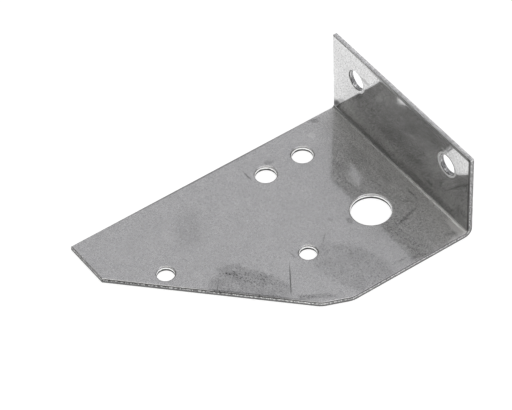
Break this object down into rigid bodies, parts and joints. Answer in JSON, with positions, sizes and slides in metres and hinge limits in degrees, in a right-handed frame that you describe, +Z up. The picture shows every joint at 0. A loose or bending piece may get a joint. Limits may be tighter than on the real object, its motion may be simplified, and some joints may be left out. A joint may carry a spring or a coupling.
{
  "type": "stamped metal bracket",
  "caption": "Folded sheet-steel bracket: a flat plate with one slanted side and punched holes, and an upright flange with bolt holes along its wide edge.",
  "frame": {"origin": "middle of the footprint's bounding box, on the plate's underside", "axes": "+X along the fold, from the long straight side to the short side; +Y from the narrow end to the flange; +Z up, the way the flange stands"},
  "size_m": [0.0812, 0.12, 0.0387],
  "materials": {
    "sheet_steel": "bare rolled steel sheet, near mirror at a grazing angle, with hazy smudges, faint scratches and brighter sheared edges"
  },
  "bodies": {
    "root": {"bracket": "sheet_steel"}
  },
  "joints": []
}
